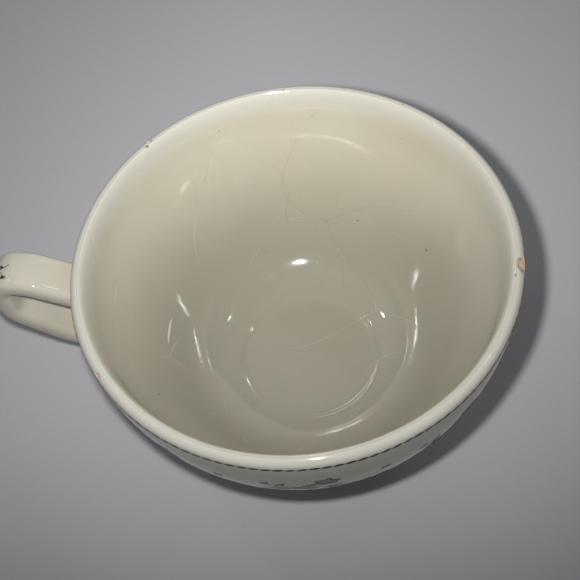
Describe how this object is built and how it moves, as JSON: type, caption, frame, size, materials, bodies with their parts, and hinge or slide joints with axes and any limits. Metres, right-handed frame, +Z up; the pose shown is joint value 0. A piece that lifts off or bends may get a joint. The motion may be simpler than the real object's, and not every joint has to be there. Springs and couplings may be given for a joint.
{
  "type": "teacup",
  "caption": "Round-bottomed earthenware teacup with a rounded lip, a foot ring and a strap handle; cream glaze inside and a dark printed pattern outside",
  "frame": {"origin": "centre of the plane that the foot ring stands on, on the bowl's axis", "axes": "+Z up along the bowl's axis; the handle points along -X; +Y to the left when facing along +X"},
  "size_m": [0.1207, 0.0974, 0.057],
  "materials": {
    "biscuit": "porous pinkish-tan earthenware, matt",
    "foot": "cream glaze worn through to tan clay on the standing edge",
    "handle": "glossy cream glaze with dark printed accents",
    "handle_joint": "glossy cream glaze over smoothed slip",
    "inner_glaze": "glossy cream glaze, finely crazed and speckled",
    "outer_glaze": "glossy cream glaze over a dark brown-black printed pattern",
    "base_glaze": "glossy cream glaze, pooled and slightly stained"
  },
  "bodies": {
    "root": {"bowl": "biscuit", "foot_ring": "foot", "handle": "handle", "upper_handle_joint": "handle_joint", "lower_handle_joint": "handle_joint", "inner_glaze": "inner_glaze", "outer_glaze": "outer_glaze", "base_glaze": "base_glaze"}
  },
  "joints": []
}
